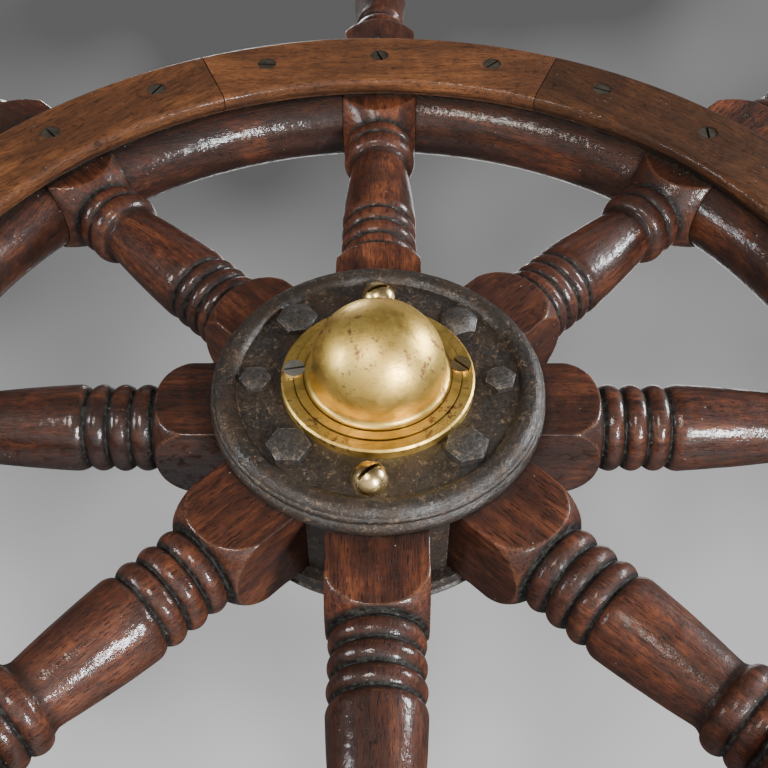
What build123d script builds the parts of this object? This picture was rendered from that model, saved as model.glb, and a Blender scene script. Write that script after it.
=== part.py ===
from build123d import *
import os
from math import cos, radians, sin, tan

# Ship steering wheel, eight turned spokes, 42 inches over the handles.
#
# Every piece is drawn in the wheel's own frame: X and Y lie in the plane of the wheel, Y up when
# the wheel hangs, and Z is the spin axis, pointing at the person who steers. Z = 0 is the middle
# of the wheel's thickness. upright() then stands it up: the spin axis lies along Y, the front
# faces -Y, and the origin is the centre of the bearing flange's mounting face.

# ---- driving dimensions, millimetres ----
SPOKES = 8
STEP = 360 / SPOKES                 # angle between spokes
BLOCK = 26.25                       # half the side of a spoke's square blocks, half the felloe
JOINT_GAP = 0.1                     # glue line on each side of a timber joint

HUB_R = 91.0                        # cast hub plates
HUB_FACE = 39.5                     # floor of the front plate's recess
HUB_RIM = 42.5                      # crest of the front plate's raised rim
RECESS_R = 76.2                     # recess inside the raised rim
HUB_BACK = -40.0                    # rear face of the rear plate
SLEEVE_R = 34.0                     # central sleeve of the rear casting
SLEEVE_BACK = -44.0

RIM_IN = 268.0                      # innermost line of the felloes
RIM_OUT = 334.0                     # outside of the felloes
FACING_IN = 279.0                   # flat facings over the felloes
FACING_OUT = 335.0
FACING_T = 15.0
FACING_TOP = BLOCK + FACING_T

SCREW_RING_R = 310.0                # facing screws
SCREW_SPREAD = 15.0                 # angle between the screws of one facing
SCREW_HEAD_R = 6.5
SCREW_SHANK_R = 2.75
SCREW_RECESS = 0.6                  # head below the facing
SCREW_TIP = 5.0                     # end of the screw, from the middle of the wheel

BOLT_RING_R = 64.5                  # large hub bolts, on the diagonal spokes
SMALL_BOLT_RING_R = 66.0            # small hub bolts, on the level spokes
BRASS_RING_R = 66.0                 # round-headed brass screws, on the vertical spokes
CAP_SCREW_RING_R = 45.0

CAP_FLANGE_R = 52.0                 # brass dome cap
CAP_TOP = 45.5                      # outer ring of its flange
DOME_R = 36.3
DOME_CENTRE = 52.5
DOME_WALL = 2.5

SPINDLE_R = 16.0
RUNNING_CLEARANCE = 0.04
COLLAR_BACK = -48.0                 # spindle collar between hub and thrust washer
WASHER_FRONT = -48.2                # thrust washer of the bearing
WASHER_BACK = -51.2
FLANGE_FRONT = -60.0
STANDOFF = 72.0                     # mounting face to the middle of the wheel
FLANGE_R = 62.0
FLANGE_PCD = 98.0
FLANGE_HOLE_R = 5.5
BUSH_R = 21.0
SET_COLLAR_BACK = -87.0
TAIL_START = -92.0                  # spindle's tail, for the steering gear
TAIL_END = -137.0
TAIL_R = 14.0


def upright(shape):
    return Pos(0, -STANDOFF, 0) * Rot(90, 0, 0) * shape


def save(name, shape):
    solids = [upright(solid) for solid in shape.solids()]
    whole = solids[0] if len(solids) == 1 else Compound(children=solids)
    export_step(whole, f"parts/{name}.step")


def cylinder(radius, low, high, x=0, y=0):
    return Pos(x, y, (low + high) / 2) * Cylinder(radius, high - low)


def ring(outer, inner, low, high):
    return cylinder(outer, low, high) - cylinder(inner, low - 1, high + 1)


def polar(radius, angle):
    return radius * cos(radians(angle)), radius * sin(radians(angle))


def hexagon(flats, low, high, turn=0):
    outline = Rot(0, 0, turn) * RegularPolygon(flats / 2, 6, major_radius=False, rotation=0)
    return Pos(0, 0, low) * extrude(outline, high - low)


# ---- turned spokes ----
# Along a spoke, X is the distance from the spin axis, and Y in an outline is the turned radius.
GROOVE_R = 20.0
BEAD_R = 24.7
BEAD_W = 12.7
FIRST_GROOVE = 126.8                        # end of the hub block's shoulder
SHOULDER_LONG = 29.0                        # half axes of the elliptical shoulder
SHOULDER_DEEP = 18.0
BODY_START = FIRST_GROOVE + 3 * BEAD_W
BODY_END = 232.5
RIM_BEAD_END = BODY_END + 13.5
RIM_GROOVE = RIM_BEAD_END + 11.5
RIM_SHOULDER = RIM_GROOVE + 2
RIM_BLOCK = 282.5                           # full square again, inside the rim
OUTER_BLOCK_END = 362.0
NECK_RING = 391.5                           # end of the outer block's shoulder
RING_R = 19.5
RING_END = 402.5
NECK_R = 15.0
GRIP_START = 416.0
SPOKE_TIP = 533.0
SHOULDER_R = BLOCK * 1.42                   # just outside the corners of the square


def turned(curves, start, end):
    """Solid of revolution about X under a chain of curves, closed to the axis at both ends."""
    corners = [end, (end[0], 0), (start[0], 0), start]
    if end[1] == 0:
        corners.pop(0)
    return revolve(make_face(Curve() + curves + Polyline(*corners)), Axis.X)


def bead(start, end, groove_r, crest_r):
    return ThreePointArc((start, groove_r), ((start + end) / 2, crest_r), (end, groove_r))


def hub_block():
    """Wedge root, square block and the shoulder turned on its outer end."""
    root = SLEEVE_R + 1
    slope = tan(radians(STEP / 2))
    root_half = root * slope - JOINT_GAP
    full_width = (BLOCK + JOINT_GAP) / slope
    plan = Polyline((root, -root_half), (full_width, -BLOCK), (FIRST_GROOVE, -BLOCK),
                    (FIRST_GROOVE, BLOCK), (full_width, BLOCK), (root, root_half), close=True)
    bar = Pos(0, 0, -BLOCK) * extrude(make_face(plan), 2 * BLOCK)
    centre = FIRST_GROOVE - SHOULDER_LONG
    curve = EllipticalCenterArc((centre, GROOVE_R), SHOULDER_LONG, SHOULDER_DEEP, 0, arc_size=80)
    crest = curve @ 1
    shoulder = [curve, Line(crest, (root, crest.Y))]
    return turned(shoulder, (FIRST_GROOVE, GROOVE_R), (root, crest.Y)) & bar


def spoke_body():
    """Three beads, the tapered body with its round shoulder, and the two beads inside the rim."""
    starts = [FIRST_GROOVE + number * BEAD_W for number in range(3)]
    curves = [bead(start, start + BEAD_W, GROOVE_R, BEAD_R) for start in starts]
    waist_x, waist_r = BODY_END - 4, 19.4
    full_x = BODY_START + 7
    foot_r = 21.0
    curves += [
        ThreePointArc((BODY_START, GROOVE_R), (BODY_START + 2.2, 23.4), (full_x, BEAD_R)),
        Spline((full_x, BEAD_R), (195, 22.7), (waist_x, waist_r), tangents=[(1, -0.02), (1, -0.02)]),
        ThreePointArc((waist_x, waist_r), (BODY_END - 1.4, 19.8), (BODY_END, foot_r)),
        bead(BODY_END, RIM_BEAD_END, foot_r, BEAD_R + 0.3),
        bead(RIM_BEAD_END, RIM_GROOVE, foot_r, BEAD_R),
        Polyline((RIM_GROOVE, foot_r), (RIM_GROOVE, GROOVE_R), (RIM_SHOULDER, GROOVE_R)),
    ]
    return turned(curves, (FIRST_GROOVE, GROOVE_R), (RIM_SHOULDER, GROOVE_R))


def rim_block():
    """Square block that passes through the rim, with a turned shoulder at each end."""
    curves = [
        SagittaArc((RIM_SHOULDER, GROOVE_R), (RIM_BLOCK, SHOULDER_R), 1.6),
        Line((RIM_BLOCK, SHOULDER_R), (OUTER_BLOCK_END, SHOULDER_R)),
        SagittaArc((OUTER_BLOCK_END, SHOULDER_R), (NECK_RING, RING_R), 2.6),
    ]
    middle = (RIM_SHOULDER + NECK_RING) / 2
    bar = Pos(middle, 0, 0) * Box(NECK_RING - RIM_SHOULDER, 2 * BLOCK, 2 * BLOCK)
    return turned(curves, (RIM_SHOULDER, GROOVE_R), (NECK_RING, RING_R)) & bar


def handle():
    neck_start, neck_end = RING_END + 3.5, RING_END + 6.5
    nose_x, nose_r = 519.0, 16.4
    ball_r = ((SPOKE_TIP - nose_x) ** 2 + nose_r ** 2) / (2 * (SPOKE_TIP - nose_x))
    ball_x = SPOKE_TIP - ball_r
    nose_angle = radians(40)
    curves = [
        bead(NECK_RING, RING_END, RING_R, RING_R + 1.9),
        ThreePointArc((RING_END, RING_R), (RING_END + 1, 16.2), (neck_start, NECK_R)),
        Line((neck_start, NECK_R), (neck_end, NECK_R)),
        ThreePointArc((neck_end, NECK_R), (GRIP_START - 4.5, 17.6), (GRIP_START, 18.8)),
        Spline((GRIP_START, 18.8), (455, 21.6), (478, 22.2), (505, 19.4), (nose_x, nose_r),
               tangents=[(1, 0.12), (1, -0.2)]),
        ThreePointArc((nose_x, nose_r), (ball_x + ball_r * cos(nose_angle), ball_r * sin(nose_angle)),
                      (SPOKE_TIP, 0)),
    ]
    return turned(curves, (NECK_RING, RING_R), (SPOKE_TIP, 0))


def spoke_blank():
    return hub_block() + spoke_body() + rim_block() + handle()


# ---- rim ----
def felloe_blank():
    """Rim piece between the spokes at 0 and STEP, with a full-round inner edge."""
    centre = RIM_IN + BLOCK
    section = [
        ThreePointArc((centre, -BLOCK), (RIM_IN, 0), (centre, BLOCK)),
        Line((centre, BLOCK), (RIM_OUT, BLOCK)),
        ThreePointArc((RIM_OUT, BLOCK), (RIM_OUT - 0.4, 0), (RIM_OUT, -BLOCK)),
        Line((RIM_OUT, -BLOCK), (centre, -BLOCK)),
    ]
    face = Plane.XZ * make_face(Curve() + section)
    piece = revolve(face, Axis.Z, STEP)
    bar = Pos(300, 0, 0) * Box(200, 2 * (BLOCK + JOINT_GAP), 4 * BLOCK)
    return piece - bar - Rot(0, 0, STEP) * bar


def facing_blank():
    """Facing, centred on the spoke at 0, with a rounded and coved inner edge."""
    top = FACING_TOP
    round_in = 4.2
    round_out = 4.0
    cove_top = top - 6.8
    foot_x = FACING_IN + 5.6
    foot_top = BLOCK + 2.2
    section = [
        Line((foot_x, BLOCK), (FACING_OUT, BLOCK)),
        Line((FACING_OUT, BLOCK), (FACING_OUT, top - round_out)),
        RadiusArc((FACING_OUT, top - round_out), (FACING_OUT - round_out, top), -round_out),
        Line((FACING_OUT - round_out, top), (FACING_IN + round_in, top)),
        RadiusArc((FACING_IN + round_in, top), (FACING_IN, top - round_in), -round_in),
        Polyline((FACING_IN, top - round_in), (FACING_IN, cove_top), (FACING_IN + 1.2, cove_top)),
        ThreePointArc((FACING_IN + 1.2, cove_top), (FACING_IN + 2.3, foot_top + 2.2), (foot_x, foot_top)),
        Line((foot_x, foot_top), (foot_x, BLOCK)),
    ]
    gap_angle = 0.06
    face = Plane.XZ * make_face(Curve() + section)
    piece = revolve(face, Axis.Z, STEP - 2 * gap_angle)
    return Rot(0, 0, -STEP / 2 + gap_angle) * piece


def countersunk_envelope(head_r, shank_r, top, tip, pocket=0.0):
    """Countersunk screw without its slot, pointing down Z; pocket lengthens the head upward."""
    depth = head_r - shank_r
    points = [(0, tip), (shank_r, tip), (shank_r, top - depth - 1.2), (head_r, top - 1.2), (head_r, top)]
    if pocket:
        points[-1] = (head_r, top + pocket)
    points.append((0, points[-1][1]))
    return revolve(Plane.XZ * make_face(Polyline(*points, close=True)), Axis.Z)


def slot(length, width, depth, top, turn):
    return Rot(0, 0, turn) * Pos(0, 0, top - depth / 2 + 1) * Box(length, width, depth + 2)


def screw_angles(spoke):
    return [spoke * STEP + side * SCREW_SPREAD for side in (-1, 0, 1)]


def slot_turn(number):
    """A different direction for each slot, as a hand leaves them."""
    return number * 67 % 180


def screw_places():
    for spoke in range(SPOKES):
        for side, angle in enumerate(screw_angles(spoke)):
            yield spoke, side, Pos(*polar(SCREW_RING_R, angle), 0)


def facing_screw(number):
    top = FACING_TOP - SCREW_RECESS
    screw = countersunk_envelope(SCREW_HEAD_R, SCREW_SHANK_R, top, SCREW_TIP)
    return screw - slot(20, 1.6, 1.8, top, slot_turn(number))


def facing_screw_hole():
    return countersunk_envelope(SCREW_HEAD_R, SCREW_SHANK_R, FACING_TOP - SCREW_RECESS, SCREW_TIP, 2)


# ---- hub castings ----
def plate_edge():
    """Double-ridged edge of a hub plate, from its face side down to the timber."""
    return [
        ThreePointArc((82, HUB_RIM), (87.0, 41.3), (88.9, 39.0)),
        ThreePointArc((88.9, 39.0), (90.2, 37.2), (88.9, 35.4)),
        ThreePointArc((88.9, 35.4), (88.5, 34.3), (89.2, 33.2)),
        ThreePointArc((89.2, 33.2), (HUB_R, 30.2), (90, BLOCK)),
    ]


def front_plate():
    section = [
        Line((SPINDLE_R, BLOCK), (SPINDLE_R, HUB_FACE)),
        Line((SPINDLE_R, HUB_FACE), (RECESS_R, HUB_FACE)),
        ThreePointArc((RECESS_R, HUB_FACE), (RECESS_R + 1.6, 41.4), (82, HUB_RIM)),
        *plate_edge(),
        Line((90, BLOCK), (SPINDLE_R, BLOCK)),
    ]
    return revolve(Plane.XZ * make_face(Curve() + section), Axis.Z)


def rear_plate():
    """Rear plate, sleeve and the cast webs that fill the corners between the spoke roots."""
    bevel = 3.0
    edge = [(x, -z) for x, z in ((90, BLOCK), (HUB_R, 30), (HUB_R, 32), (89, 33.5), (89, 34.5), (HUB_R, 36))]
    outline = Polyline((SPINDLE_R, BLOCK), (SLEEVE_R, BLOCK), (SLEEVE_R, -BLOCK), *edge,
                       (HUB_R, HUB_BACK + bevel), (HUB_R - bevel, HUB_BACK),
                       (SLEEVE_R + bevel, HUB_BACK), (SLEEVE_R, SLEEVE_BACK),
                       (SPINDLE_R, SLEEVE_BACK), close=True)
    plate = revolve(Plane.XZ * make_face(outline), Axis.Z)
    web_in, web_out, clearance = 71.5, 83.0, 0.3
    half = radians(STEP / 2)
    wide = [(x * sin(half) - BLOCK) / cos(half) - clearance for x in (web_in, web_out)]
    low, high = wide
    plan = Polyline((web_in, -low), (web_out, -high), (web_out, high), (web_in, low), close=True)
    web = Pos(0, 0, -BLOCK) * extrude(make_face(plan), 2 * BLOCK)
    for number in range(SPOKES):
        plate += Rot(0, 0, (number + 0.5) * STEP) * web
    return plate


# ---- hub fasteners: kind, spoke numbers, ring radius, shank radius ----
LARGE_BOLTS = {1: 18, 3: 8, 5: 0, 7: 14}     # spoke number: turn of the hexagon head
SMALL_BOLTS = {0: 16, 4: 2}
BRASS_SCREWS = {2: (20, 7.6, 0), 6: (42, 10.6, -3.4)}   # turn of the slot, height, drift from the spoke
LARGE_SHANK_R = 6.0
SMALL_SHANK_R = 4.0
NUT_FACE = HUB_BACK
HEAD_WEAR = {1: 4.2, 3: 2.2, 5: 1.3, 7: 1.5} # how far each large head is worn down at its flats


def at_spoke(spoke, radius, shape):
    return Pos(*polar(radius, spoke * STEP), 0) * shape


def hex_bolt(flats, height, shank_r, turn, worn=1.3):
    """Hexagon head worn down by that much at its flats, and a shank through the hub."""
    top = HUB_FACE + height
    crown_r = (flats ** 2 / 4 + worn ** 2) / (2 * worn)
    head = hexagon(flats, HUB_FACE, top, turn) & (Pos(0, 0, top - crown_r) * Sphere(crown_r))
    return head + cylinder(shank_r, NUT_FACE - 12, HUB_FACE)


def hub_nut(flats, thickness, shank_r, turn):
    return hexagon(flats, NUT_FACE - thickness, NUT_FACE, turn) - cylinder(shank_r, -80, 0)


def brass_screw(spoke):
    """Round-headed machine screw, tapped into the rear plate."""
    turn, height, drift = BRASS_SCREWS[spoke]
    head_r = 9.6
    ball_r = (head_r ** 2 + (height - 1) ** 2) / (2 * (height - 1))
    top = HUB_FACE + height
    head = cylinder(head_r, HUB_FACE, top) & (Pos(0, 0, top - ball_r) * Sphere(ball_r))
    head -= slot(30, 2.2, 3.2, top, turn)
    screw = head + cylinder(SMALL_SHANK_R, HUB_BACK, HUB_FACE)
    return Rot(0, 0, drift) * Pos(*polar(BRASS_RING_R, spoke * STEP), 0) * screw


def hub_bolt_hole(spoke):
    """Hole for the hub fastener of one spoke, with that spoke along X."""
    if spoke in LARGE_BOLTS:
        return cylinder(LARGE_SHANK_R, -60, 60, BOLT_RING_R)
    if spoke in SMALL_BOLTS:
        return cylinder(SMALL_SHANK_R, -60, 60, SMALL_BOLT_RING_R)
    return cylinder(SMALL_SHANK_R, -60, 60, *polar(BRASS_RING_R, BRASS_SCREWS[spoke][2]))


def hub_bolt_holes():
    return [Rot(0, 0, spoke * STEP) * hub_bolt_hole(spoke) for spoke in range(SPOKES)]


# ---- brass dome cap ----
CAP_SCREW_ANGLES = {"steel": 176, "brass": 8}
CAP_SCREW_TURNS = {"steel": 10, "brass": -44}
CAP_HEAD_R = 5.8
CAP_SHANK_R = 2.4
CAP_SEAT = CAP_TOP - 1.2


def dome_cap():
    ring_step = 1.0
    groove_depth = 0.8
    groove_w = 0.6
    step_1 = 44.8
    step_2 = 39.4
    foot = DOME_R + 2.2
    foot_rise = 4.0
    inside = DOME_R - DOME_WALL
    flat_1 = CAP_TOP + ring_step
    flat_2 = CAP_TOP + 2 * ring_step
    section = [
        Polyline((inside, HUB_FACE), (CAP_FLANGE_R, HUB_FACE), (CAP_FLANGE_R, CAP_TOP - 1),
                 (CAP_FLANGE_R - 1, CAP_TOP), (step_1 + groove_w, CAP_TOP),
                 (step_1 + groove_w, CAP_TOP - groove_depth), (step_1, CAP_TOP - groove_depth),
                 (step_1, flat_1), (step_2 + groove_w, flat_1),
                 (step_2 + groove_w, flat_1 - groove_depth), (step_2, flat_1 - groove_depth),
                 (step_2, flat_2), (foot, flat_2)),
        ThreePointArc((foot, flat_2), (DOME_R + 0.6, flat_2 + 1.4), (DOME_R, flat_2 + foot_rise)),
        Line((DOME_R, flat_2 + foot_rise), (DOME_R, DOME_CENTRE)),
        ThreePointArc((DOME_R, DOME_CENTRE),
                      (DOME_R * cos(radians(45)), DOME_CENTRE + DOME_R * sin(radians(45))),
                      (0, DOME_CENTRE + DOME_R)),
        Line((0, DOME_CENTRE + DOME_R), (0, DOME_CENTRE + inside)),
        ThreePointArc((0, DOME_CENTRE + inside),
                      (inside * cos(radians(45)), DOME_CENTRE + inside * sin(radians(45))),
                      (inside, DOME_CENTRE)),
        Line((inside, DOME_CENTRE), (inside, HUB_FACE)),
    ]
    cap = revolve(Plane.XZ * make_face(Curve() + section), Axis.Z)
    for name, angle in CAP_SCREW_ANGLES.items():
        x, y = polar(CAP_SCREW_RING_R, angle)
        cap -= cylinder(CAP_HEAD_R, CAP_SEAT, CAP_TOP + 5, x, y)
        cap -= cylinder(CAP_SHANK_R, HUB_FACE - 1, CAP_TOP, x, y)
    return cap


def cap_screw(name):
    top = CAP_SEAT + 3.0
    screw = cylinder(CAP_HEAD_R, CAP_SEAT, top) + cylinder(CAP_SHANK_R, BLOCK + 1, CAP_SEAT)
    screw -= slot(20, 1.3, 1.5, top, CAP_SCREW_TURNS[name])
    return Pos(*polar(CAP_SCREW_RING_R, CAP_SCREW_ANGLES[name]), 0) * screw


# ---- spindle and bearing ----
KEY_W = 8.0
KEY_DEEP = 3.0
KEY_BACK, KEY_FRONT = -38.0, 20.0
THREAD_R = 12.0
WASHER_R = 30.0
NUT_LOW = HUB_FACE + 4


def spindle():
    shaft = cylinder(SPINDLE_R, TAIL_START, HUB_FACE - 1) + cylinder(TAIL_R, TAIL_END, TAIL_START)
    shaft += cylinder(THREAD_R, HUB_FACE - 1, NUT_LOW + 24)
    shaft += cylinder(SPINDLE_R + 6, COLLAR_BACK, SLEEVE_BACK)
    middle = (KEY_BACK + KEY_FRONT) / 2
    return shaft - Pos(0, SPINDLE_R, middle) * Box(KEY_W, 2 * KEY_DEEP, KEY_FRONT - KEY_BACK)


def spindle_key():
    height = 2 * KEY_DEEP
    return Pos(0, SPINDLE_R, (KEY_BACK + KEY_FRONT) / 2) * Box(KEY_W, height, KEY_FRONT - KEY_BACK)


def keyway():
    height = 2 * KEY_DEEP + 0.4
    return Pos(0, SPINDLE_R + 0.2, 0) * Box(KEY_W, height, 200)


def spindle_nut():
    return hexagon(36, NUT_LOW, NUT_LOW + 18) - cylinder(THREAD_R, 0, 100)


def bearing_flange():
    flange = cylinder(FLANGE_R, -STANDOFF, FLANGE_FRONT)
    flange = fillet(flange.edges().group_by(Axis.Z)[-1], 3)
    boss = cylinder(SLEEVE_R, FLANGE_FRONT, WASHER_BACK)
    holes = [cylinder(FLANGE_HOLE_R, -80, -50, *polar(FLANGE_PCD / 2, 45 + 90 * n)) for n in range(4)]
    return flange + boss - cylinder(BUSH_R, -80, -40) - holes


def set_collar():
    collar = ring(28, SPINDLE_R, SET_COLLAR_BACK, -STANDOFF - 0.3)
    return collar - grub_screw()


def grub_screw():
    middle = (SET_COLLAR_BACK - STANDOFF) / 2
    return Pos(0, (SPINDLE_R + 27) / 2, middle) * Rot(90, 0, 0) * Cylinder(4, 27 - SPINDLE_R)


# ---- write every piece ----
def write_rim_and_spokes():
    spoke_solid = spoke_blank()
    felloe_solid = felloe_blank()
    facing_solid = facing_blank()
    screw_hole = facing_screw_hole()
    local_holes = [Pos(*polar(SCREW_RING_R, angle), 0) * screw_hole for angle in screw_angles(0)]
    facing_solid -= local_holes
    spoke_solid -= Pos(SCREW_RING_R, 0, 0) * screw_hole
    for angle in (SCREW_SPREAD, STEP - SCREW_SPREAD):
        felloe_solid -= Pos(*polar(SCREW_RING_R, angle), 0) * screw_hole
    for number in range(SPOKES):
        turn = Rot(0, 0, number * STEP)
        save(f"spoke_{number + 1}", turn * (spoke_solid - hub_bolt_hole(number)))
        save(f"felloe_{number + 1}", turn * felloe_solid)
        save(f"facing_{number + 1}", turn * facing_solid)


def write_screws():
    screws = [place * facing_screw(3 * spoke + side) for spoke, side, place in screw_places()]
    save("facing_screws", Compound(children=screws))


def write_hub():
    holes = hub_bolt_holes()
    cap_holes = [cylinder(CAP_SHANK_R, BLOCK + 1, 50, *polar(CAP_SCREW_RING_R, angle))
                 for angle in CAP_SCREW_ANGLES.values()]
    save("hub_front_plate", front_plate() - holes - cap_holes)
    save("hub_rear_plate", rear_plate() - cylinder(SPINDLE_R, -60, 60) - keyway() - holes)
    large = [at_spoke(spoke, BOLT_RING_R, hex_bolt(20.4, 5.6, LARGE_SHANK_R, turn, HEAD_WEAR[spoke]))
             for spoke, turn in LARGE_BOLTS.items()]
    small = [at_spoke(spoke, SMALL_BOLT_RING_R, hex_bolt(15, 5, SMALL_SHANK_R, turn))
             for spoke, turn in SMALL_BOLTS.items()]
    brass = [brass_screw(spoke) for spoke in BRASS_SCREWS]
    save("hub_bolts_large", Compound(children=large))
    save("hub_bolts_small", Compound(children=small))
    save("hub_screws_brass", Compound(children=brass))
    save("hub_nuts_large", Compound(children=[
        at_spoke(spoke, BOLT_RING_R, hub_nut(20.6, 9.5, LARGE_SHANK_R, 11 * spoke)) for spoke in LARGE_BOLTS]))
    save("hub_nuts_small", Compound(children=[
        at_spoke(spoke, SMALL_BOLT_RING_R, hub_nut(15, 7, SMALL_SHANK_R, 17 * spoke)) for spoke in SMALL_BOLTS]))
    save("dome_cap", dome_cap())
    for name in CAP_SCREW_ANGLES:
        save(f"cap_screw_{name}", cap_screw(name))


def write_spindle_and_bearing():
    save("spindle", spindle() - grub_screw())
    save("spindle_key", spindle_key())
    save("spindle_washer", ring(WASHER_R, THREAD_R, HUB_FACE, NUT_LOW))
    save("spindle_nut", spindle_nut())
    save("set_collar", set_collar())
    save("set_collar_screw", grub_screw())
    save("bearing_flange", bearing_flange())
    save("bearing_bush", ring(BUSH_R, SPINDLE_R + RUNNING_CLEARANCE, -STANDOFF, WASHER_BACK))
    save("thrust_washer", ring(WASHER_R, SPINDLE_R + 0.5, WASHER_BACK, WASHER_FRONT))


os.makedirs("parts", exist_ok=True)
write_rim_and_spokes()
write_screws()
write_hub()
write_spindle_and_bearing()
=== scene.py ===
import bpy
import bmesh
import math
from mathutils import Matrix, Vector, noise


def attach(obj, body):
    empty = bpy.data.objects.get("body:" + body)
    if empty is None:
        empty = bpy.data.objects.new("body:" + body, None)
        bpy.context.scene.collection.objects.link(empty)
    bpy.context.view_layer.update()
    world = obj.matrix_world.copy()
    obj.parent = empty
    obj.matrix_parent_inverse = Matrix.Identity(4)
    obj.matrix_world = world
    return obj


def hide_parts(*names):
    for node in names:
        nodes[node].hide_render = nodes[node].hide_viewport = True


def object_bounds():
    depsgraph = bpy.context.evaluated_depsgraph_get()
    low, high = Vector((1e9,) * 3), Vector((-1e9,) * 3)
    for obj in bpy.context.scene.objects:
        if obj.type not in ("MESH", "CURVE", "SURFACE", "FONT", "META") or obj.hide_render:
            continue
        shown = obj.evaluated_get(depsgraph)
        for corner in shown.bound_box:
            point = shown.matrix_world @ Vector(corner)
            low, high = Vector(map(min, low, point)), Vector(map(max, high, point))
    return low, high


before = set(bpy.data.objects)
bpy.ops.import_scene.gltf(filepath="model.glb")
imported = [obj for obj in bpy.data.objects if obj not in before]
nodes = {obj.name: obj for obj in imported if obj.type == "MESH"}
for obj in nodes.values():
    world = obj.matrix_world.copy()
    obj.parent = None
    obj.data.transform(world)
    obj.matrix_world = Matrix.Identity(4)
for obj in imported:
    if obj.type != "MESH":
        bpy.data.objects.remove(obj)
cad_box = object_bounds()

SPOKES = 8
STEP = 360 / SPOKES
QUARTER = 90                        # from along a radius to along the rim
PLANE_Y = -0.072                    # middle of the wheel's thickness
MM = 0.001


# ---- node helpers ----
class Tree:
    """Short names for building the nodes of one material or world."""

    def __init__(self, owner):
        owner.use_nodes = True
        self.tree = owner.node_tree
        self.shader = self.tree.nodes.get("Principled BSDF")

    def node(self, kind, **settings):
        made = self.tree.nodes.new("ShaderNode" + kind)
        for key, value in settings.items():
            setattr(made, key, value)
        return made

    def link(self, source, socket):
        self.tree.links.new(source, socket)

    def feed(self, socket, value):
        if isinstance(value, bpy.types.NodeSocket):
            self.link(value, socket)
        else:
            socket.default_value = value

    def math(self, operation, a, b=0.0, clamp=False):
        made = self.node("Math", operation=operation, use_clamp=clamp)
        self.feed(made.inputs[0], a)
        self.feed(made.inputs[1], b)
        return made.outputs[0]

    def scaled(self, vector, scale):
        made = self.node("VectorMath", operation="MULTIPLY")
        self.link(vector, made.inputs[0])
        made.inputs[1].default_value = scale
        return made.outputs[0]

    def noise(self, vector, scale, detail=4, rough=0.55, distortion=0.0):
        made = self.node("TexNoise")
        self.link(vector, made.inputs["Vector"])
        made.inputs["Scale"].default_value = scale
        made.inputs["Detail"].default_value = detail
        made.inputs["Roughness"].default_value = rough
        made.inputs["Distortion"].default_value = distortion
        return made.outputs["Fac"]

    def cells(self, vector, scale, feature="F1"):
        made = self.node("TexVoronoi", feature=feature)
        self.link(vector, made.inputs["Vector"])
        made.inputs["Scale"].default_value = scale
        return made.outputs["Distance"]

    def ramp(self, value, *stops):
        """Colour ramp from (position, colour) stops; a colour may be one grey level."""
        made = self.node("ValToRGB")
        self.link(value, made.inputs[0])
        elements = made.color_ramp.elements
        while len(elements) < len(stops):
            elements.new(0.5)
        for element, (position, colour) in zip(elements, stops):
            element.position = position
            element.color = (*colour, 1) if isinstance(colour, tuple) else (colour, colour, colour, 1)
        return made.outputs[0]

    def band(self, value, low, high):
        made = self.node("MapRange", clamp=True)
        self.link(value, made.inputs[0])
        made.inputs[1].default_value = low
        made.inputs[2].default_value = high
        return made.outputs[0]

    def span(self, value, low, high):
        """Takes 0..1 to low..high."""
        made = self.node("MapRange", clamp=True)
        self.link(value, made.inputs[0])
        made.inputs[3].default_value = low
        made.inputs[4].default_value = high
        return made.outputs[0]

    def mix(self, factor, a, b, blend="MIX"):
        made = self.node("Mix", data_type="RGBA", blend_type=blend)
        self.feed(made.inputs[0], factor)
        for socket, value in ((made.inputs[6], a), (made.inputs[7], b)):
            self.feed(socket, (*value, 1) if isinstance(value, tuple) else value)
        return made.outputs[2]

    def attribute(self, name):
        return self.node("Attribute", attribute_name=name).outputs["Fac"]

    def bump(self, height, distance, strength=1.0, normal=None):
        made = self.node("Bump")
        self.link(height, made.inputs["Height"])
        made.inputs["Distance"].default_value = distance
        made.inputs["Strength"].default_value = strength
        if normal is not None:
            self.link(normal, made.inputs["Normal"])
        return made.outputs[0]

    def crevice(self, distance, only_local=False):
        """0 on open surfaces, 1 deep in a corner, from ambient occlusion; the materials paint shade with it."""
        made = self.node("AmbientOcclusion", samples=6, only_local=only_local)
        made.inputs["Distance"].default_value = distance
        return self.math("SUBTRACT", 1.0, made.outputs["AO"])

    def rounded_edge(self, radius):
        """0 on smooth surfaces, towards 1 within radius of a sharp edge."""
        made = self.node("Bevel", samples=4)
        made.inputs["Radius"].default_value = radius
        turned = self.node("VectorMath", operation="DOT_PRODUCT")
        self.link(made.outputs[0], turned.inputs[0])
        self.link(self.node("NewGeometry").outputs["Normal"], turned.inputs[1])
        return self.band(turned.outputs["Value"], 0.985, 0.90)


def local_position(t, turn=0.0):
    """Position on the piece in metres, turned about the spin axis."""
    made = t.node("Mapping")
    made.inputs["Rotation"].default_value = (0, math.radians(turn), 0)
    t.link(t.node("TexCoord").outputs["Object"], made.inputs["Vector"])
    return made.outputs[0]


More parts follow.
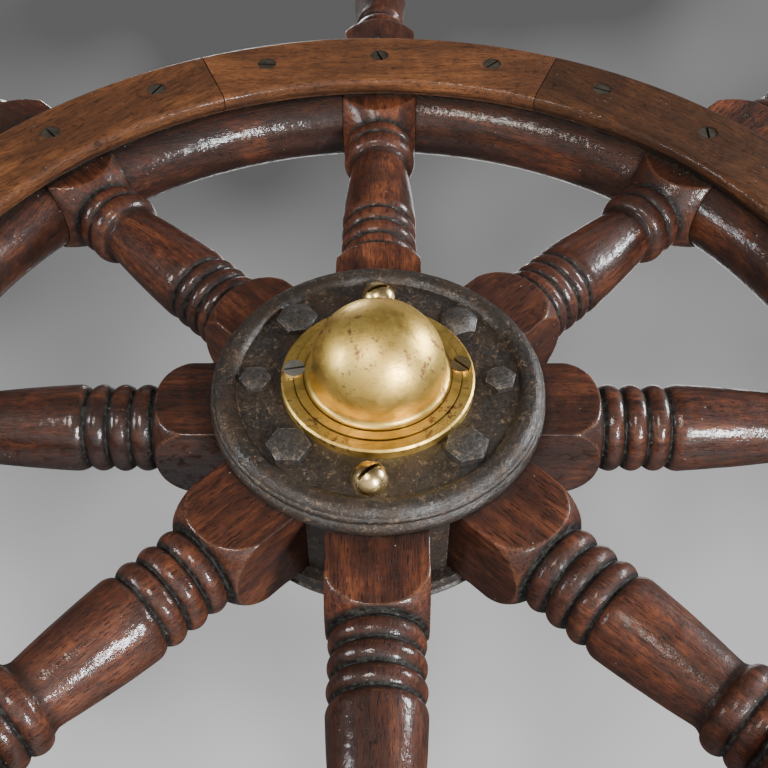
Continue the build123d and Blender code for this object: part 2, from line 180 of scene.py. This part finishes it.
# ---- materials ----
def wood(name, turn, offset, dark, middle, light, sheen=0.34, coat=0.75):
    """Old varnished mahogany, its grain along the piece's own X after the turn."""
    material = bpy.data.materials.new(name)
    t = Tree(material)
    shifted = t.node("VectorMath", operation="ADD")
    t.link(local_position(t, turn), shifted.inputs[0])
    shifted.inputs[1].default_value = (offset, offset * 0.37, offset * 0.71)
    place = shifted.outputs[0]
    figure = t.noise(t.scaled(place, (8, 46, 46)), 1.0, 5, 0.6, 1.2)
    streak = t.noise(t.scaled(place, (40, 420, 420)), 1.0, 4, 0.65, 0.3)
    pore = t.noise(t.scaled(place, (140, 1500, 1500)), 1.0, 2, 0.5)
    patch = t.noise(place, 17, 4, 0.6, 0.8)
    blotch = t.noise(place, 160, 4, 0.7, 0.5)
    grain = t.math("ADD", t.math("ADD", t.math("MULTIPLY", figure, 0.45), t.math("MULTIPLY", streak, 0.30)),
                   t.math("MULTIPLY", blotch, 0.25))
    colour = t.ramp(grain, (0.40, dark), (0.50, middle), (0.60, light))
    colour = t.mix(t.span(t.band(patch, 0.42, 0.58), 0.0, 0.65), colour, tuple(c * 1.3 for c in dark))
    colour = t.mix(t.span(t.band(pore, 0.55, 0.66), 0, 0.8), colour, tuple(c * 0.3 for c in dark))
    crust = t.math("MULTIPLY", t.band(blotch, 0.54, 0.66), t.band(patch, 0.40, 0.62))
    colour = t.mix(t.math("MULTIPLY", crust, 0.75), colour, (0.006, 0.0042, 0.0036))
    wear = t.math("MULTIPLY", t.attribute("edge"), t.band(t.noise(place, 130, 3, 0.6), 0.36, 0.60), True)
    colour = t.mix(t.math("MULTIPLY", wear, 0.7, True), colour, (0.20, 0.078, 0.030))
    # Painted shade: the colour goes near black in turned grooves and in corners found by ambient occlusion;
    # grey dust is added there too.
    hollow_shade = t.math("ADD", t.attribute("hollow_shade"), t.math("MULTIPLY", t.crevice(0.012), 1.2), True)
    colour = t.mix(t.math("MULTIPLY", hollow_shade, 0.95, True), colour, (0.0045, 0.0035, 0.0030))
    dust = t.math("MULTIPLY", t.band(hollow_shade, 0.60, 0.92), t.band(t.noise(place, 330, 4, 0.75), 0.48, 0.60))
    colour = t.mix(t.math("MULTIPLY", dust, 0.28), colour, (0.09, 0.095, 0.08))
    speck = t.math("LESS_THAN", t.cells(place, 190), 0.07)
    rare = t.math("GREATER_THAN", t.noise(place, 70, 1), 0.585)
    colour = t.mix(t.math("MULTIPLY", t.math("MULTIPLY", speck, rare), 0.5), colour, (0.42, 0.40, 0.36))
    t.link(colour, t.shader.inputs["Base Color"])
    haze = t.noise(place, 75, 5, 0.7)
    grit = t.noise(place, 620, 4, 0.75)
    t.link(t.span(t.math("ADD", haze, t.math("MULTIPLY", hollow_shade, 0.6)), sheen, sheen + 0.26),
           t.shader.inputs["Roughness"])
    t.link(t.span(t.math("SUBTRACT", 1.0, t.math("ADD", t.band(blotch, 0.50, 0.66), hollow_shade, True)), 0.04, coat),
           t.shader.inputs["Coat Weight"])
    t.shader.inputs["Coat Roughness"].default_value = 0.10
    t.shader.inputs["Coat IOR"].default_value = 1.52
    t.shader.inputs["Specular IOR Level"].default_value = 0.2
    lumps = t.bump(t.noise(place, 95, 3, 0.5), 0.0009, 0.7)
    lines = t.math("ADD", t.math("MULTIPLY", grit, 0.7), t.math("MULTIPLY", t.band(pore, 0.62, 0.5), 0.35))
    t.link(t.bump(lines, 0.00026, 0.9, lumps), t.shader.inputs["Normal"])
    ripple = t.math("ADD", t.noise(place, 420, 3, 0.7), t.math("MULTIPLY", streak, 0.6))
    t.link(t.bump(ripple, 0.00020, 0.9, lumps), t.shader.inputs["Coat Normal"])
    return material


def iron(name, base=(0.0255, 0.0200, 0.0162), rust=(0.062, 0.038, 0.023), rust_low=0.46, shine=0.40):
    """Worn cast or wrought iron: pitted, brown, with tan scale and rubbed edges."""
    material = bpy.data.materials.new(name)
    t = Tree(material)
    place = local_position(t)
    large = t.noise(place, 45, 5, 0.65, 0.3)
    fine = t.noise(place, 420, 4, 0.7)
    grain = t.noise(place, 1100, 3, 0.7)
    scale = t.noise(place, 240, 5, 0.75, 0.4)
    colour = t.ramp(fine, (0.32, tuple(c * 0.45 for c in base)), (0.52, base),
                    (0.72, tuple(c * 2.0 for c in base)))
    colour = t.mix(t.math("MULTIPLY", t.band(large, rust_low, rust_low + 0.2), 0.7), colour, rust)
    flecks = t.math("MULTIPLY", t.band(scale, 0.545, 0.62), t.band(grain, 0.44, 0.58))
    colour = t.mix(t.math("MULTIPLY", flecks, 0.75), colour, (0.22, 0.145, 0.085))
    colour = t.mix(t.math("MULTIPLY", t.band(grain, 0.50, 0.36), 0.6), colour, tuple(c * 0.3 for c in base))
    # Painted shade: the colour darkens to near black in corners found by ambient occlusion, and rubbed edges
    # are kept out of them.
    corner_shade = t.crevice(0.008)
    rub = t.math("MULTIPLY", t.math("SUBTRACT", t.rounded_edge(0.0011), t.math("MULTIPLY", corner_shade, 2.0), True),
                 t.band(fine, 0.44, 0.58))
    colour = t.mix(t.math("MULTIPLY", rub, 0.85, True), colour, (0.24, 0.22, 0.20))
    colour = t.mix(t.math("MULTIPLY", corner_shade, 0.75, True), colour, (0.017, 0.012, 0.009))
    t.link(colour, t.shader.inputs["Base Color"])
    t.shader.inputs["Metallic"].default_value = 0.25
    t.link(t.span(t.math("ADD", t.math("MULTIPLY", fine, 0.6), t.math("MULTIPLY", large, 0.4)),
                  shine - 0.10, shine + 0.22), t.shader.inputs["Roughness"])
    t.shader.inputs["Specular IOR Level"].default_value = 0.45
    t.link(t.span(t.band(large, 0.58, 0.40), 0.0, 0.6), t.shader.inputs["Coat Weight"])
    t.shader.inputs["Coat Roughness"].default_value = 0.2
    height = t.math("ADD", t.math("MULTIPLY", fine, 0.8), t.math("MULTIPLY", grain, 0.4))
    lumpy = t.bump(height, 0.0007, 0.9, t.bump(large, 0.002, 0.8))
    t.link(lumpy, t.shader.inputs["Normal"])
    t.link(lumpy, t.shader.inputs["Coat Normal"])
    return material


def brass(name, light=(0.84, 0.56, 0.145), deep=(0.58, 0.375, 0.09), patina=0.9, rough=0.38, spots=0.0):
    """Rubbed brass with red-brown spots, scratches and dull patches."""
    material = bpy.data.materials.new(name)
    t = Tree(material)
    place = local_position(t)
    cloud = t.noise(place, 34, 5, 0.6, 0.5)
    spot = t.noise(place, 170, 5, 0.72, 0.3)
    fine = t.noise(place, 1100, 2, 0.6)
    scratch = t.noise(t.scaled(place, (140, 1700, 1000)), 1.0, 2, 0.5, 0.6)
    colour = t.ramp(cloud, (0.32, deep), (0.5, light), (0.72, (0.72, 0.55, 0.17)))
    colour = t.mix(t.math("MULTIPLY", t.band(scratch, 0.60, 0.70), 0.45), colour, (0.30, 0.21, 0.08))
    stain = t.math("MULTIPLY", t.band(spot, 0.52 - spots, 0.60), t.band(cloud, 0.46, 0.56))
    colour = t.mix(t.math("MULTIPLY", stain, patina, True), colour, (0.20, 0.075, 0.045))
    # Painted shade: the colour darkens to brown in corners found by ambient occlusion.
    corner_shade = t.crevice(0.004, True)
    colour = t.mix(t.math("MULTIPLY", corner_shade, 1.0, True), colour, (0.07, 0.04, 0.02))
    t.link(colour, t.shader.inputs["Base Color"])
    t.shader.inputs["Metallic"].default_value = 1.0
    dull = t.math("ADD", t.math("MULTIPLY", spot, 0.5), t.math("MULTIPLY", cloud, 0.5))
    t.link(t.span(t.band(dull, 0.35, 0.65), rough - 0.06, rough + 0.16), t.shader.inputs["Roughness"])
    height = t.math("ADD", t.math("MULTIPLY", scratch, 0.6), t.math("MULTIPLY", fine, 0.3))
    worn = t.bump(height, 0.00012, 0.7, t.bump(cloud, 0.0009, 0.5))
    t.link(worn, t.shader.inputs["Normal"])
    return material


def steel(name, base=(0.36, 0.36, 0.35), rough=0.35, tarnish=(0.10, 0.095, 0.07), amount=0.4):
    """Turned steel with fine tool marks, tarnished in patches."""
    material = bpy.data.materials.new(name)
    t = Tree(material)
    place = local_position(t)
    cloud = t.noise(place, 120, 4, 0.65)
    fine = t.noise(t.scaled(place, (900, 2400, 900)), 1.0, 3, 0.6)
    colour = t.mix(t.math("MULTIPLY", t.band(cloud, 0.42, 0.62), amount), t.ramp(
        fine, (0.3, tuple(c * 0.7 for c in base)), (0.7, base)), tarnish)
    # Painted shade: the colour darkens to near black in corners found by ambient occlusion.
    colour = t.mix(t.math("MULTIPLY", t.crevice(0.004, True), 0.9, True), colour, (0.02, 0.018, 0.014))
    t.link(colour, t.shader.inputs["Base Color"])
    t.shader.inputs["Metallic"].default_value = 0.9
    t.link(t.span(cloud, rough - 0.1, rough + 0.15), t.shader.inputs["Roughness"])
    t.link(t.bump(fine, 0.0002, 0.5), t.shader.inputs["Normal"])
    return material


def paint_all(names, material):
    for name in names:
        nodes[name].data.materials.clear()
        nodes[name].data.materials.append(material)


# ---- turned spokes as worn, continuous meshes ----
# Lengths along a spoke are distances from the spin axis, in mm.
BLOCK = 26.25                                   # half the side of the square blocks
SQUARE_R = 37                                   # radius that just reaches the corners
OVER_CORNERS = BLOCK * 1.45                     # a turned radius that leaves the square whole
GROOVE_R, BEAD_R, BEAD_W = 20.0, 24.7, 12.7
FIRST_GROOVE = 126.8                            # end of the hub block's shoulder
SHOULDER_LONG, SHOULDER_DEEP = 29.0, 18.0       # half axes of that elliptical shoulder
BODY_START = FIRST_GROOVE + 3 * BEAD_W
BODY_FULL = BODY_START + 7                      # end of the body's round shoulder
WAIST, WAIST_R = 228.5, 19.4
BODY_END, FOOT_R = 232.5, 21.0
RIM_BEAD_END, RIM_GROOVE, RIM_SHOULDER = 246.0, 257.5, 259.5
RIM_BLOCK, OUTER_BLOCK_END = 282.5, 362.0       # full square between these
NECK_RING, RING_END, RING_R = 391.5, 402.5, 19.5
GRIP = [(402.5, 19.2), (406, 15), (409, 15), (416, 18.8), (455, 21.5), (478, 22.1), (519, 16.4)]
NOSE_CENTRE, NOSE_R = 516.394, 16.606
ROOT, SPOKE_TIP = 35.0, 533.0
HUB_EDGE = 92                                   # inside this the timber is clamped and not worn
DRIFT_FROM, DRIFT_TO = 80, 228                  # the hand turning varies between these


def arc_between(x, start, end, rise):
    """Circular bulge of that rise between two (x, radius) points."""
    (x0, r0), (x1, r1) = start, end
    share = (x - x0) / (x1 - x0)
    return r0 + (r1 - r0) * share + 4 * rise * share * (1 - share)


def bead(x, start, end, groove, crest):
    """Rounded ridge between two grooves."""
    share = 2 * (x - start) / (end - start) - 1
    return groove + (crest - groove) * math.sqrt(max(0.0, 1 - share * share)) ** 1.25


def smooth_curve(x, points):
    """Smooth interpolation of the radius through (x, radius) points."""
    for (x0, r0), (x1, r1) in zip(points, points[1:]):
        if x <= x1:
            share = max(0.0, (x - x0) / (x1 - x0))
            return r0 + (r1 - r0) * share * share * (3 - 2 * share)
    return points[-1][1]


def undrifted(x, drift):
    """Distance on the standard spoke that a hand-turned spoke has at x.

    drift is how far outward its first groove and the end of its beads lie, in mm.
    """
    first, last = FIRST_GROOVE + drift[0], BODY_START + drift[1]
    points = ((DRIFT_FROM, DRIFT_FROM), (first, FIRST_GROOVE), (last, BODY_START), (DRIFT_TO, DRIFT_TO))
    for (near, near_to), (far, far_to) in zip(points, points[1:]):
        if near < x <= far:
            return near_to + (far_to - near_to) * (x - near) / (far - near)
    return x


def turned_radius(x, drift=(0, 0)):
    """Turned outline of a spoke, in mm, at distance x from the spin axis."""
    x = undrifted(x, drift)
    if x < FIRST_GROOVE - SHOULDER_LONG:
        return OVER_CORNERS
    if x < FIRST_GROOVE:
        share = (x - FIRST_GROOVE + SHOULDER_LONG) / SHOULDER_LONG
        return GROOVE_R + SHOULDER_DEEP * math.sqrt(1 - share * share)
    if x < BODY_START:
        start = FIRST_GROOVE + BEAD_W * int((x - FIRST_GROOVE) / BEAD_W)
        return bead(x, start, start + BEAD_W, GROOVE_R, BEAD_R)
    if x < BODY_FULL:
        share = (BODY_FULL - x) / (BODY_FULL - BODY_START)
        return GROOVE_R + (BEAD_R - GROOVE_R) * math.sqrt(1 - share * share)
    if x < WAIST:
        return arc_between(x, (BODY_FULL, BEAD_R), (WAIST, WAIST_R), 0.55)
    if x < BODY_END:
        return arc_between(x, (WAIST, WAIST_R), (BODY_END, FOOT_R), -0.3)
    if x < RIM_BEAD_END:
        return bead(x, BODY_END, RIM_BEAD_END, FOOT_R, BEAD_R + 0.3)
    if x < RIM_GROOVE:
        return bead(x, RIM_BEAD_END, RIM_GROOVE, FOOT_R, BEAD_R)
    if x < RIM_SHOULDER:
        return GROOVE_R
    if x < RIM_BLOCK:
        return arc_between(x, (RIM_SHOULDER, GROOVE_R), (RIM_BLOCK, OVER_CORNERS), 1.6)
    if x < OUTER_BLOCK_END:
        return OVER_CORNERS
    if x < NECK_RING:
        return arc_between(x, (OUTER_BLOCK_END, OVER_CORNERS), (NECK_RING, RING_R), 2.6)
    if x < RING_END:
        return bead(x, NECK_RING, RING_END, RING_R, 21.4)
    if x < GRIP[-1][0]:
        return smooth_curve(x, GRIP)
    return math.sqrt(max(0.0, NOSE_R ** 2 - (x - NOSE_CENTRE) ** 2))


def spoke_stations():
    """Distances along the spoke, closer together on the turned parts."""
    stations, x = [], ROOT
    while x < SPOKE_TIP:
        stations.append(x)
        fine = 105 < x < 180 or 222 < x < 292 or 358 < x < 420
        x += 0.75 if fine else (1.2 if x > 505 else 3.0)
    return stations + [SPOKE_TIP - 0.4, SPOKE_TIP - 0.07]


def corner_angles():
    """Angles round a section, closer together at the four corners of the square."""
    near = [-45 + d for d in (0, 1.2, 2.4, 3.8, 5.5, 7.5)] + [45 - d for d in (7.5, 5.5, 3.8, 2.4, 1.2)]
    inner = [-36 + 72 * i / 18 for i in range(19)]
    angles = sorted(near + inner)
    return [math.radians(turn + angle) for turn in (0, 90, 180, 270) for angle in angles]


def soft_least(a, b, width):
    """The smaller of two lengths, rounded where they cross."""
    gap = max(width - abs(a - b), 0.0) / width
    return min(a, b) - gap * gap * width * 0.25


# Where the first groove and the end of the beads lie on each hand-turned spoke, outward of the usual place.
SPOKE_DRIFT = ((-3.2, -3.6), (5, -1), (2.5, 2), (-2.5, -7.6), (-3, -3.4), (1, 1.8), (3.4, 2.2), (0, 0.8))


def make_spoke(number):
    """Whole spoke as one mesh: the square timber cut by its turned outline, with worn corners."""
    stations, angles = spoke_stations(), corner_angles()
    slope = math.tan(math.radians(STEP / 2))
    seed = Vector((number * 7.3, 2.1, -number * 3.7))
    drift = SPOKE_DRIFT[number]
    outline = [turned_radius(x, drift) for x in stations]
    mesh = bmesh.new()
    edge_layer = mesh.verts.layers.float.new("edge")
    # Groove depth per vertex; the wood material paints shade into these grooves.
    hollow_layer = mesh.verts.layers.float.new("hollow_shade")
    rings = []
    for x, turned in zip(stations, outline):
        around = [turned_radius(x + d, drift) for d in (-5, -3, 3, 5)]
        groove = max(0.0, min(1.0, (sum(around) / 4 - turned) / 2.6)) if x > 120 else 0.0
        half = min(BLOCK, x * slope - 0.1)
        ring = []
        for angle in angles:
            c, s = abs(math.cos(angle)), abs(math.sin(angle))
            flat = soft_least(half / c if c > 1e-4 else 1e4, BLOCK / s if s > 1e-4 else 1e4, 0.9)
            radius = soft_least(flat, turned, 0.4)
            crossing = max(0.0, 1 - abs(flat - turned) / 0.55)
            corner = max(0.0, 1 - abs(c - s) / 0.05) if turned > flat + 2 else 0.0
            point = Vector((x, radius * math.cos(angle), radius * math.sin(angle)))
            uneven = noise.noise(point * 0.045 + seed) * 0.35 + noise.noise(point * 0.16 + seed) * 0.12
            worn = (0.3 + uneven * 0.5 + 0.3 * corner * max(0, uneven + 0.2)) * max(0.0, 1 - groove)
            if x > HUB_EDGE:
                point.yz *= 1 - worn / max(radius, 1)
            vert = mesh.verts.new(point * MM)
            vert[edge_layer] = max(crossing if turned < SQUARE_R else 0.0, corner * 0.8)
            vert[hollow_layer] = groove
            ring.append(vert)
        rings.append(ring)
    count = len(angles)
    for near, far in zip(rings, rings[1:]):
        for i in range(count):
            mesh.faces.new((near[i], near[(i + 1) % count], far[(i + 1) % count], far[i]))
    mesh.faces.new(list(reversed(rings[0])))
    tip = mesh.verts.new((SPOKE_TIP * MM, 0, 0))
    for i in range(count):
        mesh.faces.new((rings[-1][i], rings[-1][(i + 1) % count], tip))
    for face in mesh.faces:
        face.smooth = True
    bmesh.ops.recalc_face_normals(mesh, faces=mesh.faces)
    data = bpy.data.meshes.new(f"spoke_turned_{number + 1}")
    mesh.to_mesh(data)
    mesh.free()
    piece = bpy.data.objects.new(f"spoke_turned_{number + 1}", data)
    bpy.context.scene.collection.objects.link(piece)
    piece.location = (0, PLANE_Y, 0)
    piece.rotation_euler = (0, -math.radians(number * STEP), 0)
    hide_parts(f"spoke_{number + 1}")
    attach(piece, "wheel")
    return piece


# Tones are the grain's (dark, middle, light). Levels and coats run from the first piece to the eighth.
WOOD_TONES = ((0.0125, 0.0050, 0.0033), (0.040, 0.0122, 0.0060), (0.092, 0.0285, 0.0120))
FELLOE_TONES = ((0.0125, 0.0048, 0.0030), (0.049, 0.0145, 0.0064), (0.112, 0.034, 0.0125))
SPOKE_COATS = (0.65, 0.5, 0.4, 0.5, 0.7, 0.65, 0.6, 0.16)
# Partly painted light: these levels brighten or darken whole spokes for how brightly each is lit, besides the
# timber's own tone.
SPOKE_TONE_AND_LIGHT_LEVELS = (1.25, 1.8, 1.9, 1.5, 0.9, 1.8, 1.45, 1.6)
FACING_TONES = ((0.040, 0.0150, 0.0062), (0.088, 0.0325, 0.0115), (0.138, 0.053, 0.0185))
# Partly painted light: these levels brighten or darken whole facings for how brightly each is lit, besides the
# timber's own tone.
FACING_TONE_AND_LIGHT_LEVELS = (0.65, 0.62, 1.4, 1.3, 1.2, 1.0, 1.0, 0.85)
for number in range(SPOKES):
    piece = make_spoke(number)
    tones = [tuple(c * SPOKE_TONE_AND_LIGHT_LEVELS[number] for c in tone) for tone in WOOD_TONES]
    piece.data.materials.append(wood(f"spoke_wood_{number + 1}", 0, 1.3 * number + 0.4, *tones,
                                     coat=SPOKE_COATS[number]))
    paint_all([f"felloe_{number + 1}"],
              wood(f"felloe_wood_{number + 1}", (number + 0.5) * STEP + QUARTER, 2.1 * number + 9,
                   *FELLOE_TONES, coat=0.5))
    tones = [tuple(c * FACING_TONE_AND_LIGHT_LEVELS[number] for c in tone) for tone in FACING_TONES]
    paint_all([f"facing_{number + 1}"],
              wood(f"facing_wood_{number + 1}", number * STEP + QUARTER, 3.7 * number + 17,
                   *tones, sheen=0.5, coat=0.22))

paint_all(["facing_screws"], steel("old_screws", (0.17, 0.15, 0.115), 0.5, (0.055, 0.045, 0.032), 0.7))
paint_all(["hub_front_plate", "hub_rear_plate"], iron("hub_casting"))
paint_all(["hub_bolts_large", "hub_bolts_small", "hub_nuts_large", "hub_nuts_small"],
          iron("bolt_iron", (0.046, 0.041, 0.037), (0.085, 0.060, 0.042), 0.54, 0.30))
paint_all(["dome_cap"], brass("cap_brass"))
paint_all(["hub_screws_brass", "cap_screw_brass"],
          brass("screw_brass", (0.70, 0.52, 0.25), (0.42, 0.27, 0.11), 0.85, 0.24, 0.03))
paint_all(["cap_screw_steel"], steel("cap_screw_metal", (0.62, 0.60, 0.54), 0.3, (0.3, 0.26, 0.2), 0.3))
paint_all(["spindle", "spindle_key", "set_collar_screw"], steel("spindle_metal", (0.50, 0.50, 0.50), 0.28))
paint_all(["spindle_nut", "spindle_washer", "set_collar"], steel("collar_metal", (0.40, 0.40, 0.40), 0.36))
paint_all(["bearing_flange"], iron("bearing_casting", (0.028, 0.027, 0.026), (0.05, 0.03, 0.022), 0.6, 0.45))
paint_all(["bearing_bush", "thrust_washer"],
          brass("bearing_bronze", (0.62, 0.42, 0.20), (0.40, 0.25, 0.10), 0.4, 0.32))


# ---- floor, lights, camera ----
def plain_floor():
    """Light paper, well below the handles."""
    bpy.ops.mesh.primitive_plane_add(size=60, location=(0, 0, cad_box[0].z - 0.55))
    floor = bpy.context.object
    floor.name = "floor"
    material = bpy.data.materials.new("floor_paper")
    t = Tree(material)
    t.link(t.ramp(t.noise(local_position(t), 3, 2), (0.3, 0.78), (0.7, 0.82)), t.shader.inputs["Base Color"])
    t.shader.inputs["Roughness"].default_value = 0.8
    floor.data.materials.append(material)


def studio_world():
    """Grey gradient behind the object, lighter towards the bottom, with soft noise blotches as painted shadows;
    and a dimmer room that lights it.
    """
    world = bpy.data.worlds.new("studio")
    bpy.context.scene.world = world
    t = Tree(world)
    parts = t.node("SeparateXYZ")
    t.link(t.node("TexCoord").outputs["Generated"], parts.inputs[0])
    # Painted shadows and light patches: noise shifts the backdrop gradient in soft blotches.
    height = t.math("ADD", parts.outputs[2], t.math("MULTIPLY", t.math(
        "SUBTRACT", 0.5, t.noise(t.node("TexCoord").outputs["Generated"], 5.5, 1, 0.4)), 0.42))
    backdrop_with_painted_shadows = t.ramp(height, (0.32, 0.80), (0.52, 0.50), (0.86, 0.12))
    room = t.ramp(parts.outputs[2], (0.30, 0.12), (0.46, 0.08), (0.70, 0.16), (0.86, 0.10), (1.0, 0.60))
    colour = t.mix(t.node("LightPath").outputs["Is Camera Ray"], room, backdrop_with_painted_shadows)
    t.link(colour, t.tree.nodes["Background"].inputs[0])


def softbox(name, place, aim, size, power, colour=(1, 1, 1)):
    """Rectangular light that looks at aim."""
    light = bpy.data.lights.new(name, "AREA")
    light.shape = "RECTANGLE"
    light.size, light.size_y = size
    light.energy = power
    light.color = colour
    lamp = bpy.data.objects.new(name, light)
    bpy.context.scene.collection.objects.link(lamp)
    lamp.location = place
    lamp.rotation_mode = "QUATERNION"
    lamp.rotation_quaternion = (Vector(aim) - Vector(place)).to_track_quat("-Z", "Y")
    lamp.visible_camera = False


def photo_camera():
    """Camera fitted to the photograph: low in front of the wheel, looking up at the hub."""
    data = bpy.data.cameras.new("camera")
    data.lens = 52.77
    data.sensor_width = 36
    camera = bpy.data.objects.new("camera", data)
    bpy.context.scene.collection.objects.link(camera)
    camera.location = (0.00325, -0.5699, -0.3991)
    camera.rotation_mode = "QUATERNION"
    camera.rotation_quaternion = Vector((0, 0.7555, 0.6552)).to_track_quat("-Z", "Y")
    data.clip_start, data.clip_end = 0.01, 50
    bpy.context.scene.camera = camera


plain_floor()
studio_world()
softbox("low_right", (0.68, -0.69, -0.90), (0.1, -0.05, 0), (0.2, 0.2), 25, (0.95, 0.97, 1.0))
softbox("right", (1.3, -0.5, 0.5), (0, -0.05, 0), (0.16, 0.5), 26, (0.92, 0.96, 1.0))
softbox("left", (-1.2, -0.7, -0.15), (0, -0.05, 0), (0.14, 0.4), 10, (0.90, 0.95, 1.0))
softbox("front", (-0.45, -1.6, -0.6), (0, 0, 0.1), (0.3, 0.3), 16, (1.0, 0.93, 0.84))
softbox("top", (-0.3, 0.12, 1.45), (0, -0.05, 0), (0.5, 0.2), 8, (0.96, 0.98, 1.0))
softbox("back", (0.4, 1.7, 2.0), (0, 0, 0), (1.6, 1.2), 14)
photo_camera()
